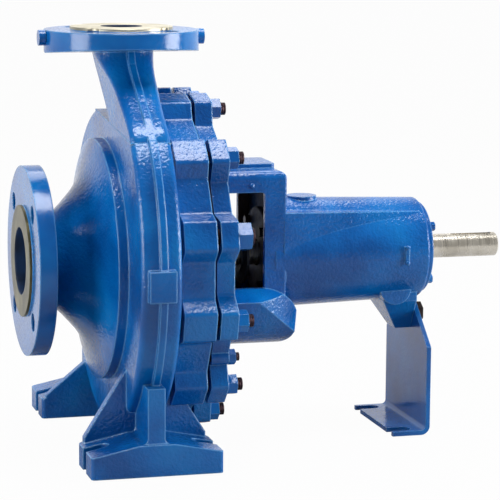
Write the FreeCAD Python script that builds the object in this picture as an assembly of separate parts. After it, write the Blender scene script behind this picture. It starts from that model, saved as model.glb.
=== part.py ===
import FreeCAD, Part
import math
import os
from FreeCAD import Vector

# End-suction centrifugal pump with a bare shaft end, in millimetres.
# The shaft axis is built on the X axis and lifted to its height when a piece is saved.
# +X runs along the shaft to its drive end, -Y is the side with the square casing pad, +Z is up.
# X = 0 is the axis of the discharge flange, and Z = 0 after lifting is the base of the feet.
# Angles go round the shaft from the top towards -Y.

# Main installation sizes
shaft_height = 180.0
discharge_height = 225.0
suction_reach = 100.0
shaft_reach = 388.0

# Suction flange and nozzle
suction_flange_radius = 92.0
suction_flange_thickness = 17.0
suction_raised_radius = 54.0
suction_bore_radius = 32.5
suction_bore_depth = 25.0
suction_bolt_circle_radius = 72.5
suction_hole_radius = 9.0
raised_face_height = 3.0
flange_hole_count = 4
nozzle_neck_radius = 42.0
nozzle_root_chamfer = 2.0
eye_passage_radius = 36.0

# Discharge flange and neck
discharge_flange_radius = 74.5
discharge_rim_thickness = 15.0
discharge_ridge_thickness = 22.0
discharge_raised_radius = 49.5
discharge_bore_radius = 20.0
discharge_bore_depth = 20.0
discharge_bolt_circle_radius = 55.0
discharge_hole_radius = 9.0
neck_root = 125.0
neck_overlap = 6.0

# Volute
volute_front = -18.0
volute_rear = 20.0
passage_front = -11.0
passage_rear = 13.0
spiral_sweep_angle = 300.0
spiral_start_angle = -15.0
spiral_start_radius = 147.0
spiral_end_radius = 177.0
spiral_wall = 8.5
tongue_radius = 134.0
volute_edge_radius = 5.0
rib_height = 4.0
rib_front = -1.5
rib_width = 7.0
dome_radius = 117.0
dome_rim_front = -27.5
side_pad_width = 25.0
side_pad_height = 29.0
side_pad_reach = 181.0
side_pad_lift = 0.5

# Impeller chamber and impeller
impeller_radius = 125.0
chamber_radius = 129.0
chamber_front = -11.5
chamber_step = 5.0
eye_neck_radius = 40.0
eye_radius = 35.0
eye_front = -46.0
neck_rear = -33.0
outlet_front = -3.5
outlet_rear = 5.5
shroud_thickness = 4.5
rear_neck_end = 23.0
hub_front = -28.0
hub_nose = -20.0
hub_rear = 32.0
hub_radius = 20.0
hub_nose_radius = 17.0
passage_hub_radius = 23.0
passage_eye_radius = 39.0
passage_eye_front = -30.0
eye_flare_front = -34.0
rear_fillet = 4.0
impeller_nut_width = 27.0
impeller_nut_height = 15.0
impeller_nut_dome_radius = 11.5
vane_count = 6
vane_start_radius = 33.0
vane_angle = 31.0
vane_thickness = 5.0
balance_hole_radius = 3.5
balance_circle_radius = 28.0
wear_gap = 0.3
wear_ring_wall = 5.7
wear_ring_width = 12.0
wear_ring_lead = 1.5

# Casing bolting ring: twelve lobes, each with a stud, and a narrow gap behind them
ring_front = 24.0
ring_rear = 55.5
ring_gap = 3.5
lobe_count = 12
lobe_offset_angle = 15.0
lobe_radius = 165.0
lobe_half_width = 13.5
lobe_flank = 9.0
lobe_corner_radius = 5.0
casing_recess_radius = 151.0
bracket_recess_radius = 143.5
stud_circle_radius = 152.5
stud_radius = 6.0
stud_reach = 16.5
stud_depth = 24.0
nut_width = 18.0
nut_height = 10.8
heavy_stud_radius = 8.0
heavy_nut_width = 24.0
heavy_nut_height = 13.0
heavy_stud_count = 2
heavy_stud_start_angle = 75.0
forcing_circle_radius = 143.0
forcing_screw_radius = 4.0
forcing_boss_radius = 7.0
forcing_nut_width = 13.0
forcing_nut_height = 6.5
forcing_screw_count = 2
forcing_screw_start_angle = 123.5
forcing_screw_reach = 10.5
stud_hole_clearance = 1.0
spigot_radius = 132.0
rim_radius = 142.0
rim_seat_depth = 6.0
gasket_thickness = 1.0
gasket_gap = 0.5

# Feet
foot_half_length = 62.5
foot_outer = 160.0
foot_inner = 95.0
foot_end_height = 20.5
foot_centre_height = 30.0
foot_slot_spread = 125.0
foot_slot_depth = 15.0
foot_slot_radius = 7.25
web_front = -9.0
web_width = 16.5
web_outer = 156.0
web_top = 82.0
foot_corner_radius = 4.0
foot_web_radius = 5.0
gusset_thickness = 9.0
near_gusset_top = 100.0
far_gusset_top = 62.0
gusset_top_half = 12.0

# Casing cover, seal chamber and seal cover
cover_front = 14.0
cover_web = 14.0
cup_radius = 92.0
cup_floor_radius = 84.0
register_radius = 108.0
register_depth = 4.0
spigot_gap = 2.0
seal_chamber_radius = 27.0
seal_boss_radius = 42.0
seal_boss_flare = 8.0
seal_boss_flare_length = 12.0
seal_boss_rear = 84.0
seal_cover_thickness = 13.0
seal_cover_spigot = 4.0
seal_bolt_circle_radius = 34.0
seal_bolt_radius = 4.0
seal_bolt_head_width = 13.0
seal_bolt_head_height = 7.5
seal_bolt_depth = 12.0
seal_bolt_count = 4

# Shaft
impeller_seat_radius = 11.0
thread_radius = 8.0
thread_front = -44.0
collar_shoulder = 112.0
neck_radius = 12.0
bearing_seat_radius = 12.5
bearing_seat_front = 150.0
middle_radius = 16.0
coupling_radius = 12.0
coupling_shoulder = 308.5
shaft_chamfer = 1.0
impeller_key_width = 6.0
impeller_key_height = 6.0
impeller_key_depth = 3.5
impeller_key_front = -8.0
impeller_key_length = 32.0
coupling_key_width = 8.0
coupling_key_depth = 4.0
coupling_keyway_length = 46.0
coupling_keyway_setback = 4.0
centre_hole_radius = 4.0
centre_hole_depth = 6.0
sleeve_radius = 16.5

# Mechanical seal
seal_collar_front = 42.0
seal_collar_length = 8.0
seal_collar_radius = 24.0
bellows_length = 21.0
bellows_folds = 7
bellows_radius = 23.0
bellows_fold_depth = 3.0
bellows_wall = 1.8
seal_running_gap = 0.8
face_ring_length = 8.0
face_ring_radius = 23.0
face_nose_length = 2.0
face_nose_step = 1.5
seal_face_gap = 0.1
seat_length = 9.0
seat_radius = 24.0
seat_bore_gap = 1.0

# Ball bearings
bearing_width = 17.0
bearing_outer_radius = 31.0
outer_ring_inner_radius = 25.7
inner_ring_outer_radius = 17.8
ball_radius = 5.75
ball_count = 8
pitch_radius = 21.75
cage_inner_radius = 20.6
cage_outer_radius = 22.9
cage_half_width = 7.0
race_gap = 0.3
front_bearing_front = 160.0
rear_bearing_front = 278.0
circlip_gap = 0.2
circlip_width = 1.5
circlip_opening = 8.0
circlip_radius = 15.5
circlip_groove_depth = 0.7

# Bearing bracket: lobed flange, lantern, trough and bearing housing
bracket_flange_thickness = 17.0
bracket_web = 14.0
bracket_bore_radius = 44.0
bracket_root = 5.0
lantern_top = 87.0
lantern_half_width = 54.0
lantern_wall = 7.0
lantern_rear = 152.0
lantern_end_wall = 11.0
lantern_corner_radius = 8.0
lantern_edge_radius = 2.5
window_front = 80.0
window_rear = 130.0
window_bottom = -27.0
window_top = 67.0
window_corner_radius = 4.0
lantern_pad_rear = 147.5
lantern_pad_half_width = 26.0
lantern_pad_height = 4.5
trough_radius = 89.5
trough_rear = 163.0
trough_wall = 8.0
trough_ledge_drop = 11.0
trough_shoulder_drop = 23.0
trough_flat_drop = 47.0
trough_flat_lean = 3.0
trough_crest_setback = 6.0
trough_crown_setback = 15.0
trough_crown_drop = 6.0
trough_toe_setback = 16.0
trough_toe_middle = 6.5
trough_bank_half_width = 86.0
housing_front_radius = 54.9
housing_rear_radius = 50.3
housing_rear = 301.5
housing_rim_radius = 3.0
housing_relief_radius = 34.5
housing_bore_step = 3.0
shoulder_front_height = 46.0
shoulder_rear_half_width = 30.6
shoulder_rear_height = 40.6
housing_pad_radius = 15.0
housing_pad_place = 182.0
housing_pad_top = 56.0
side_bar_place = 276.5
side_bar_height = 17.0
side_bar_width = 4.5
side_bar_proud = 3.0

# Bearing covers
cover_screw_radius = 2.5
cover_screw_count = 4
cover_screw_circle_radius = 38.0
cover_screw_start_angle = 50.0
cover_screw_head_width = 8.0
cover_screw_head_height = 5.5
cover_screw_depth = 12.0
bearing_cover_radius = 45.5
bearing_cover_thickness = 5.0
bearing_cover_edge = 1.0
cover_spigot_wall = 6.0
cover_spigot_gap = 0.5
cover_flat_gap = 0.5
cover_shaft_gap = 1.0
lip_seal_radius = 19.0
lip_seal_width = 4.0
lip_seal_sink = 1.5
lip_gap = 0.3

# Deflector ring on the shaft
deflector_front = 116.0
deflector_width = 8.0
deflector_radius = 30.0
deflector_hub_radius = 19.0
deflector_lip = 2.5

# Lug and sheet foot under the bearing housing
lug_front = 260.0
lug_rear = 295.0
lug_lean = 18.5
lug_half_width = 30.0
lug_toe_half_width = 11.7
lug_shoulder_drop = 50.0
lug_drop = 80.5
lug_boss_radius = 16.0
lug_boss_half_width = 34.0
lug_boss_place = 271.5
lug_boss_drop = 36.5
foot_sheet = 4.5
support_half_width = 62.5
support_top_half_width = 14.0
support_shoulder_height = 88.5
support_top_height = 127.0
support_base_length = 38.5
support_bend_radius = 9.0
support_slot_spread = 50.0
support_slot_depth = 15.0
support_bolt_drop = 67.0
support_bolt_radius = 6.0
support_bolt_head_width = 18.0
support_bolt_head_height = 7.5
support_bolt_depth = 12.5
screw_end_gap = 1.0
washer_thickness = 2.5
washer_radius = 12.0

# Plugs
gauge_plug_radius = 7.5
gauge_shank_radius = 6.0
gauge_plug_proud = 6.5
gauge_plug_depth = 12.0
drain_plug_width = 16.0
drain_plug_head = 5.0
drain_plug_radius = 6.5
drain_boss_radius = 12.0
drain_boss_height = 16.0
drain_boss_place = 1.0
drain_boss_proud = 4.0
drain_plug_depth = 9.0
drain_hole_depth = 30.0
drain_turn_share = 0.55

# Clearances
seat_clearance = 0.05
cut_margin = 1.0

BASE = -shaft_height
SHAFT = Vector(1, 0, 0)
ORIGIN = Vector(0, 0, 0)
bracket_front = ring_rear + ring_gap
bracket_rear = bracket_front + bracket_flange_thickness
shroud_rear = outlet_rear + shroud_thickness
wear_ring_radius = eye_neck_radius + wear_gap + wear_ring_wall
seal_cover_rear = seal_boss_rear + seal_cover_thickness
seal_face_place = seal_collar_front + seal_collar_length + bellows_length + face_ring_length
rear_bearing_rear = rear_bearing_front + bearing_width
lantern_cavity_rear = lantern_rear - lantern_end_wall


def box(x0, x1, y0, y1, z0, z1):
    return Part.makeBox(x1 - x0, y1 - y0, z1 - z0, Vector(x0, y0, z0))


def disc(x0, x1, radius, bore=0.0):
    """Round slice about the shaft axis, with an optional bore."""
    solid = Part.makeCylinder(radius, x1 - x0, Vector(x0, 0, 0), SHAFT)
    if bore:
        solid = solid.cut(Part.makeCylinder(bore, x1 - x0, Vector(x0, 0, 0), SHAFT))
    return solid


def turned(profile):
    """Solid of revolution about the shaft axis from (x, radius) corners."""
    points = [Vector(x, 0, r) for x, r in profile]
    face = Part.Face(Part.makePolygon(points + points[:1]))
    return face.revolve(ORIGIN, SHAFT, 360)


def polar(radius, angle, x=0.0):
    a = math.radians(angle)
    return Vector(x, -radius * math.sin(a), radius * math.cos(a))


def around_shaft(shape, angle):
    """Copy of a shape turned about the shaft from the top towards -Y."""
    copy = shape.copy()
    copy.rotate(ORIGIN, SHAFT, angle)
    return copy


def prism(points, direction):
    face = Part.Face(Part.makePolygon(points + points[:1]))
    return face.extrude(direction)


def plate_yz(outline, x0, x1):
    """Plate across the shaft from (y, z) corners."""
    return prism([Vector(x0, y, z) for y, z in outline], Vector(x1 - x0, 0, 0))


def plate_xz(outline, y0, y1):
    """Plate along the shaft from (x, z) corners."""
    return prism([Vector(x, y0, z) for x, z in outline], Vector(0, y1 - y0, 0))


def hexagon(width, length, base, direction):
    """Hexagonal prism of a given width across flats, with its outer corners turned off."""
    corner = width / math.sqrt(3)
    points = [Vector(corner * math.cos(math.radians(60 * i)), corner * math.sin(math.radians(60 * i)), 0)
              for i in range(6)]
    solid = prism(points, Vector(0, 0, length))
    cone = Part.makeCone(corner + length, width / 2, corner + length - width / 2)
    solid = solid.common(cone)
    solid.Placement = FreeCAD.Placement(base, FreeCAD.Rotation(Vector(0, 0, 1), direction))
    return solid


def hex_nut(width, height, bore, base, direction):
    hole = Part.makeCylinder(bore, height, base, direction)
    return hexagon(width, height, base, direction).cut(hole)


def hex_screw(radius, depth, head_width, head_height, seat, direction):
    """Hexagon screw: the head stands on the seat, the shank goes in against the direction."""
    shank = Part.makeCylinder(radius, depth, seat - direction * depth, direction)
    return hexagon(head_width, head_height, seat, direction).fuse(shank).removeSplitter()


def spiral_point(turn, grow, x):
    """Point on the spiral: the radius grows evenly from the tongue to the outlet."""
    start, end = grow
    radius = start + (end - start) * turn / spiral_sweep_angle
    return polar(radius, spiral_start_angle - turn, x)


def spiral_plate(grow, x0, x1, edge_radius=0.0):
    """Plate with a spiral edge, rounded if asked, and a straight edge under the discharge neck."""
    turns = [spiral_sweep_angle * i / 16 for i in range(17)]
    points = [spiral_point(turn, grow, x0) for turn in turns]
    centre = Vector(x0, 0, 0)
    curve = Part.BSplineCurve()
    curve.interpolate(points)
    wire = Part.Wire([curve.toShape(), Part.makeLine(points[-1], centre), Part.makeLine(centre, points[0])])
    sector = Part.Face(wire).extrude(Vector(x1 - x0, 0, 0))
    if edge_radius:
        spiral_edges = [edge for edge in sector.Edges if isinstance(edge.Curve, Part.BSplineCurve)]
        sector = sector.makeFillet(edge_radius, spiral_edges)
    wedge = prism([centre, points[-1], points[0]], Vector(x1 - x0, 0, 0))
    return sector.fuse(wedge).removeSplitter()


def rounded_section(height, left, right, near, far, corner):
    """Flat rounded rectangle across the discharge neck at one height."""
    arcs = []
    ends = []
    for cx, cy, start in ((right - corner, far - corner, 0), (left + corner, far - corner, 90),
                          (left + corner, near + corner, 180), (right - corner, near + corner, 270)):
        points = []
        for step in (0, 45, 90):
            a = math.radians(start + step)
            points.append(Vector(cx + corner * math.cos(a), cy + corner * math.sin(a), height))
        arcs.append(Part.Arc(*points).toShape())
        ends.append((points[0], points[2]))
    edges = []
    for i in range(4):
        edges.append(arcs[i])
        edges.append(Part.makeLine(ends[i][1], ends[(i + 1) % 4][0]))
    return Part.Wire(edges)


# The neck's outside, as (share of its height, left, right, near side, far side, corner radius)
neck_outside = [
    (0.00, -17.4, 20.4, -124.5, -34.0, 6.0),
    (0.26, -17.8, 20.2, -102.5, -8.5, 8.0),
    (0.43, -18.0, 22.0, -80.0, 11.5, 11.0),
    (0.56, -19.0, 23.4, -65.0, 24.0, 14.0),
    (0.68, -21.0, 25.2, -50.0, 31.0, 18.0),
    (0.82, -25.0, 28.2, -36.5, 31.0, 24.0),
    (1.00, -29.0, 30.8, -30.5, 30.5, 29.4),
]

# The neck's passage, in the same order
neck_passage = [
    (-0.09, -10.5, 13.3, -119.0, -34.0, 4.0),
    (0.11, -10.6, 13.2, -107.0, -30.0, 5.0),
    (0.31, -11.3, 13.5, -86.0, -14.0, 7.0),
    (0.53, -12.4, 15.2, -59.0, 0.0, 10.0),
    (0.75, -15.8, 17.5, -32.0, 14.0, 14.0),
    (0.99, -19.8, 19.8, -19.8, 19.8, 19.6),
]


def neck_height(share):
    top = discharge_height - raised_face_height - discharge_ridge_thickness + neck_overlap
    return neck_root + (top - neck_root) * share


def neck_loft(sections, straight):
    """Solid through the neck's sections, with straight or smooth walls between them."""
    wires = [rounded_section(neck_height(share), *sizes) for share, *sizes in sections]
    return Part.makeLoft(wires, True, straight)


def lobed_ring(recess_radius, x0, x1):
    """Ring plate with a rounded lobe at each stud and shallow recesses between them."""
    outline = []
    root = lobe_half_width + lobe_flank
    for i in range(lobe_count):
        angle = math.radians(lobe_angle(i))
        for radius, side in ((recess_radius, -root), (lobe_radius, -lobe_half_width),
                             (lobe_radius, lobe_half_width), (recess_radius, root)):
            outline.append((-radius * math.sin(angle) - side * math.cos(angle),
                            radius * math.cos(angle) - side * math.sin(angle)))
    ring = plate_yz(outline, x0, x1)
    corners = [edge for edge in ring.Edges
               if abs(edge.BoundBox.XLength - (x1 - x0)) < 0.01 and edge.BoundBox.YLength < 0.01]
    return ring.makeFillet(lobe_corner_radius, corners)


def lobe_angle(i):
    return lobe_offset_angle + 360.0 / lobe_count * i


def heavy_places():
    """Numbers of the lobes that carry the heavy studs."""
    step = 360.0 / heavy_stud_count
    return [i for i in range(lobe_count) if (lobe_angle(i) - heavy_stud_start_angle) % step < 1.0]


def light_places():
    return [i for i in range(lobe_count) if i not in heavy_places()]


def forcing_angles():
    return [forcing_screw_start_angle + 360.0 / forcing_screw_count * i for i in range(forcing_screw_count)]


def flange_holes(circle_radius, hole_radius, x0, x1):
    holes = []
    for i in range(flange_hole_count):
        centre = polar(circle_radius, 45 + 90 * i, x0)
        holes.append(Part.makeCylinder(hole_radius, x1 - x0, centre, SHAFT))
    return holes


# The domed wall, as (share of the way along the shaft, share of the way out to its rim)
dome_curve = [(0.0, 0.0), (0.24, 0.085), (0.44, 0.22), (0.62, 0.355), (0.76, 0.50), (0.88, 0.73), (1.0, 1.0)]


def suction_nozzle():
    """Suction flange, its short neck and the domed front wall, all round the shaft axis."""
    face = -suction_reach
    flange_front = face + raised_face_height
    flange_rear = flange_front + suction_flange_thickness
    profile = [
        (face, suction_raised_radius),
        (flange_front, suction_raised_radius),
        (flange_front, suction_flange_radius),
        (flange_rear, suction_flange_radius),
        (flange_rear, nozzle_neck_radius + nozzle_root_chamfer),
        (flange_rear + nozzle_root_chamfer, nozzle_neck_radius),
    ]
    points = [Vector(x, 0, r) for x, r in profile]
    edges = [Part.makeLine(a, b) for a, b in zip(points, points[1:])]
    curve = Part.BSplineCurve()
    start = points[-1]
    rim = Vector(dome_rim_front, 0, dome_radius)
    curve.interpolate([Vector(start.x + (rim.x - start.x) * along, 0, start.z + (rim.z - start.z) * out)
                       for along, out in dome_curve])
    edges.append(curve.toShape())
    inside = volute_front + cut_margin
    closing = [rim, Vector(inside, 0, dome_radius), Vector(inside, 0, 0), Vector(face, 0, 0), points[0]]
    edges += [Part.makeLine(a, b) for a, b in zip(closing, closing[1:])]
    return Part.Face(Part.Wire(edges)).revolve(ORIGIN, SHAFT, 360)


def discharge_flange():
    """Round flange whose underside slopes up from a ridge along the shaft."""
    face = discharge_height - raised_face_height
    body = Part.makeCylinder(discharge_flange_radius, discharge_ridge_thickness,
                             Vector(0, 0, face - discharge_ridge_thickness))
    edge = discharge_flange_radius + cut_margin
    slope = [(-edge, face), (-edge, face - discharge_rim_thickness), (0, face - discharge_ridge_thickness),
             (edge, face - discharge_rim_thickness), (edge, face)]
    body = body.common(plate_yz(slope, -edge, edge))
    raised = Part.makeCylinder(discharge_raised_radius, raised_face_height, Vector(0, 0, face))
    return body.fuse(raised)


def discharge_holes():
    holes = []
    for i in range(flange_hole_count):
        a = math.radians(45 + 90 * i)
        centre = Vector(discharge_bolt_circle_radius * math.cos(a), discharge_bolt_circle_radius * math.sin(a),
                        discharge_height - raised_face_height - discharge_ridge_thickness - cut_margin)
        holes.append(Part.makeCylinder(discharge_hole_radius,
                                       discharge_ridge_thickness + raised_face_height + 2 * cut_margin, centre))
    return holes


def casing_foot(side):
    """One cast foot: pad with open slots, cross web up to the volute and an inner gusset."""
    y0, y1 = sorted((side * foot_inner, side * foot_outer))
    half = foot_half_length
    middle = web_front + web_width / 2
    pad_top = BASE + foot_centre_height
    pad_end = BASE + foot_end_height
    pad = plate_xz([(-half, BASE), (half, BASE), (half, pad_end), (middle + web_width, pad_top),
                    (middle - web_width, pad_top), (-half, pad_end)], y0, y1)
    upright = [edge for edge in pad.Edges
               if edge.BoundBox.XLength < 0.01 and edge.BoundBox.YLength < 0.01]
    pad = pad.makeFillet(foot_corner_radius, upright)
    w0, w1 = sorted((side * foot_inner, side * web_outer))
    web = box(web_front, web_front + web_width, w0, w1, BASE + foot_end_height / 2, BASE + web_top)
    foot = pad.fuse(web)
    roots = [edge for edge in foot.Edges
             if abs(edge.BoundBox.ZMin - pad_top) < 0.01 and edge.BoundBox.ZLength < 0.01
             and edge.BoundBox.XLength < 0.01 and edge.BoundBox.YLength > foot_corner_radius
             and edge.BoundBox.XMin > web_front - 0.01 and edge.BoundBox.XMax < web_front + web_width + 0.01]
    foot = foot.makeFillet(foot_web_radius, roots)
    top = BASE + (near_gusset_top if side < 0 else far_gusset_top)
    slope = [(-half, BASE), (half, BASE), (half, pad_end), (gusset_top_half, top),
             (-gusset_top_half, top), (-half, pad_end)]
    g0, g1 = sorted((side * foot_inner, side * (foot_inner + gusset_thickness)))
    foot = foot.fuse(plate_xz(slope, g0, g1).common(box(-half + foot_corner_radius, half - foot_corner_radius,
                                                        g0, g1, BASE, top)))
    for end in (-1, 1):
        centre = Vector(end * (half - foot_slot_depth), side * foot_slot_spread, BASE - cut_margin)
        height = foot_centre_height + 2 * cut_margin
        round_end = Part.makeCylinder(foot_slot_radius, height, centre)
        s0, s1 = sorted((centre.x, end * (half + cut_margin)))
        open_end = box(s0, s1, centre.y - foot_slot_radius, centre.y + foot_slot_radius, centre.z,
                       centre.z + height)
        foot = foot.cut(round_end.fuse(open_end))
    return foot


def casing_hollow():
    """Everything the water and the rotor need: nozzle bore, chamber, cover seat."""
    ring_seat = eye_front - wear_ring_lead
    ring_end = ring_seat + wear_ring_width
    return turned([
        (-suction_reach - cut_margin, 0),
        (-suction_reach - cut_margin, suction_bore_radius),
        (-suction_reach + suction_bore_depth, suction_bore_radius),
        (ring_seat, eye_passage_radius),
        (ring_seat, wear_ring_radius),
        (ring_end, wear_ring_radius),
        (ring_end, wear_ring_radius + chamber_step),
        (chamber_front, chamber_radius),
        (passage_rear, chamber_radius),
        (passage_rear, spigot_radius),
        (ring_rear - rim_seat_depth, spigot_radius),
        (ring_rear - rim_seat_depth, rim_radius + seat_clearance),
        (ring_rear + cut_margin, rim_radius + seat_clearance),
        (ring_rear + cut_margin, 0),
    ])


def spiral_passage():
    grow = (tongue_radius, spiral_end_radius - spiral_wall)
    return spiral_plate(grow, passage_front, passage_rear)


def stud_bolts(radius, places):
    """Studs stand in the casing ring and reach through the bracket flange."""
    studs = []
    for i in places:
        foot = polar(stud_circle_radius, lobe_angle(i), ring_rear - stud_depth)
        length = stud_depth + ring_gap + bracket_flange_thickness + stud_reach
        studs.append(Part.makeCylinder(radius, length, foot, SHAFT))
    return studs


def volute_casing():
    body = spiral_plate((spiral_start_radius, spiral_end_radius), volute_front, volute_rear,
                        volute_edge_radius)
    rib = spiral_plate((spiral_start_radius + rib_height, spiral_end_radius + rib_height),
                       rib_front, rib_front + rib_width)
    neck_rib = [(sizes[2] - rib_height, neck_height(share)) for share, *sizes in neck_outside]
    neck_rib += [(0.0, neck_height(1)), (0.0, neck_height(0))]
    pad_base = side_pad_reach - 20.0
    pad = box(-side_pad_width / 2, side_pad_width / 2, -side_pad_reach, -pad_base,
              side_pad_lift - side_pad_height / 2, side_pad_lift + side_pad_height / 2)
    drum = disc(volute_rear - volute_edge_radius, ring_front + cut_margin, casing_recess_radius)
    ring = lobed_ring(casing_recess_radius, ring_front, ring_rear)
    boss = Part.makeCylinder(drain_boss_radius, drain_boss_height, drain_place())
    solid = body.fuse([rib, plate_yz(neck_rib, rib_front, rib_front + rib_width), pad, drum, ring, boss,
                       suction_nozzle(), neck_loft(neck_outside, False), discharge_flange(),
                       casing_foot(-1), casing_foot(1)])
    outlet = Part.makeCylinder(discharge_bore_radius, discharge_bore_depth + cut_margin,
                               Vector(0, 0, discharge_height - discharge_bore_depth))
    cuts = [casing_hollow(), spiral_passage(), neck_loft(neck_passage, True), outlet]
    cuts += flange_holes(suction_bolt_circle_radius, suction_hole_radius, -suction_reach - cut_margin,
                         -suction_reach + raised_face_height + suction_flange_thickness + cut_margin)
    cuts += discharge_holes()
    cuts += stud_holes(ring_rear, seat_clearance)
    cuts += [gauge_plug_hole(side) for side in (-1, 1)]
    cuts.append(drain_hole())
    return solid.cut(cuts).removeSplitter()


def stud_holes(face, clearance):
    """Blind holes for the studs in the casing ring."""
    holes = []
    for i in range(lobe_count):
        radius = heavy_stud_radius if i in heavy_places() else stud_radius
        foot = polar(stud_circle_radius, lobe_angle(i), face - stud_depth)
        holes.append(Part.makeCylinder(radius + clearance, stud_depth + cut_margin, foot, SHAFT))
    return holes


def gauge_plug_hole(side):
    height = discharge_height - raised_face_height - discharge_rim_thickness / 2
    base = Vector(side * (discharge_flange_radius - gauge_plug_depth), 0, height)
    return Part.makeCylinder(gauge_shank_radius + seat_clearance, gauge_plug_depth + cut_margin, base,
                             Vector(side, 0, 0))


def gauge_plugs():
    plugs = []
    for side in (-1, 1):
        direction = Vector(side, 0, 0)
        height = discharge_height - raised_face_height - discharge_rim_thickness / 2
        base = Vector(side * (discharge_flange_radius - gauge_plug_depth), 0, height)
        shank = Part.makeCylinder(gauge_shank_radius, gauge_plug_depth, base, direction)
        head = Part.makeCylinder(gauge_plug_radius, gauge_plug_proud,
                                 Vector(side * discharge_flange_radius, 0, height), direction)
        plugs.append(shank.fuse(head).removeSplitter())
    return plugs


def drain_place():
    """Lower end of the boss under the casing."""
    bottom = spiral_start_radius + (spiral_end_radius - spiral_start_radius) * drain_turn_share
    return Vector(drain_boss_place, 0, -bottom - drain_boss_proud)


def drain_hole():
    return Part.makeCylinder(drain_plug_radius + seat_clearance, drain_hole_depth,
                             drain_place() - Vector(0, 0, cut_margin))


def drain_plug():
    return hex_screw(drain_plug_radius, drain_plug_depth, drain_plug_width, drain_plug_head, drain_place(),
                     Vector(0, 0, -1))


def wear_ring(front):
    """Replaceable ring round an impeller neck."""
    return disc(front, front + wear_ring_width, wear_ring_radius - seat_clearance,
                eye_neck_radius + wear_gap)


def casing_cover():
    """Cup-shaped cover with the seal chamber boss in its middle."""
    rim_front = ring_rear - rim_seat_depth + gasket_thickness
    rear = bracket_front
    return turned([
        (cover_front, wear_ring_radius),
        (cover_front, spigot_radius - seat_clearance),
        (rim_front, spigot_radius - seat_clearance),
        (rim_front, rim_radius),
        (rear, rim_radius),
        (rear, register_radius + seat_clearance),
        (rear - register_depth, register_radius + seat_clearance),
        (rear - register_depth, cup_radius),
        (cover_front + cover_web, cup_floor_radius),
        (cover_front + cover_web, seal_boss_radius + seal_boss_flare),
        (cover_front + cover_web + seal_boss_flare_length, seal_boss_radius),
        (seal_boss_rear, seal_boss_radius),
        (seal_boss_rear, seal_chamber_radius),
        (cover_front + wear_ring_width, seal_chamber_radius),
        (cover_front + wear_ring_width, wear_ring_radius),
    ]).cut(seal_bolt_holes())


def seal_bolt_holes():
    holes = []
    for i in range(seal_bolt_count):
        foot = polar(seal_bolt_circle_radius, 90.0 * i, seal_boss_rear - seal_bolt_depth)
        holes.append(Part.makeCylinder(seal_bolt_radius + seat_clearance,
                                       seal_bolt_depth + seal_cover_thickness + cut_margin, foot, SHAFT))
    return holes


def casing_gasket():
    front = ring_rear - rim_seat_depth
    return disc(front, front + gasket_thickness, rim_radius - gasket_gap, spigot_radius + gasket_gap)


def seal_cover():
    """Round cover that holds the stationary seat of the shaft seal."""
    front = seal_boss_rear
    solid = disc(front, seal_cover_rear, seal_boss_radius)
    spigot = disc(front - seal_cover_spigot, front, seal_chamber_radius - seat_clearance)
    solid = solid.fuse(spigot)
    seat = disc(front - seal_cover_spigot, front - seal_cover_spigot + seat_length, seat_radius)
    bore = disc(front - seal_cover_spigot, seal_cover_rear, sleeve_radius + seat_bore_gap)
    return solid.cut([seat, bore] + seal_bolt_holes()).removeSplitter()


def seal_cover_bolts():
    bolts = []
    for i in range(seal_bolt_count):
        seat = polar(seal_bolt_circle_radius, 90.0 * i, seal_cover_rear)
        bolts.append(hex_screw(seal_bolt_radius, seal_bolt_depth + seal_cover_thickness - screw_end_gap,
                               seal_bolt_head_width, seal_bolt_head_height, seat, SHAFT))
    return bolts


def vane_outline(x):
    """Closed outline of one backward-curved vane, a log spiral with a constant wall."""
    start, end = vane_start_radius, impeller_radius
    slope = math.radians(vane_angle)
    sides = []
    for sign in (1, -1):
        points = []
        for i in range(9):
            radius = start * (end / start) ** (i / 8)
            wrap = math.degrees(math.log(radius / start) / math.tan(slope))
            half = math.degrees(vane_thickness / 2 / (radius * math.sin(slope)))
            points.append(polar(radius, wrap + sign * half, x))
        sides.append(points)
    curves = []
    for points in sides:
        curve = Part.BSplineCurve()
        curve.interpolate(points)
        curves.append(curve.toShape())
    caps = [Part.makeLine(sides[0][0], sides[1][0]), Part.makeLine(sides[0][-1], sides[1][-1])]
    return Part.Face(Part.Wire(Part.__sortEdges__(curves + caps)))


# The shroud walls that the water runs along, as shares of their reach along and across the shaft
front_shroud_curve = [(0.0, 0.0), (0.30, 0.15), (0.71, 0.52), (1.0, 1.0)]
rear_shroud_curve = [(0.0, 0.0), (0.02, 0.44), (0.34, 0.77), (1.0, 1.0)]


def impeller_passage():
    """Space between the two shrouds, where the vanes stand."""
    front = Part.BSplineCurve()
    front.interpolate([Vector(passage_eye_front + (outlet_front - passage_eye_front) * along, 0,
                              passage_eye_radius + (impeller_radius - passage_eye_radius) * out)
                       for along, out in front_shroud_curve])
    rear = Part.BSplineCurve()
    rear.interpolate([Vector(outlet_rear + (hub_nose - outlet_rear) * along, 0,
                             impeller_radius + (passage_hub_radius - impeller_radius) * inward)
                      for along, inward in rear_shroud_curve])
    ends = [front.getPoles()[0], front.getPoles()[-1], rear.getPoles()[0], rear.getPoles()[-1]]
    edges = [front.toShape(), Part.makeLine(ends[1], ends[2]), rear.toShape(), Part.makeLine(ends[3], ends[0])]
    return Part.Face(Part.Wire(edges)).revolve(ORIGIN, SHAFT, 360)


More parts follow.
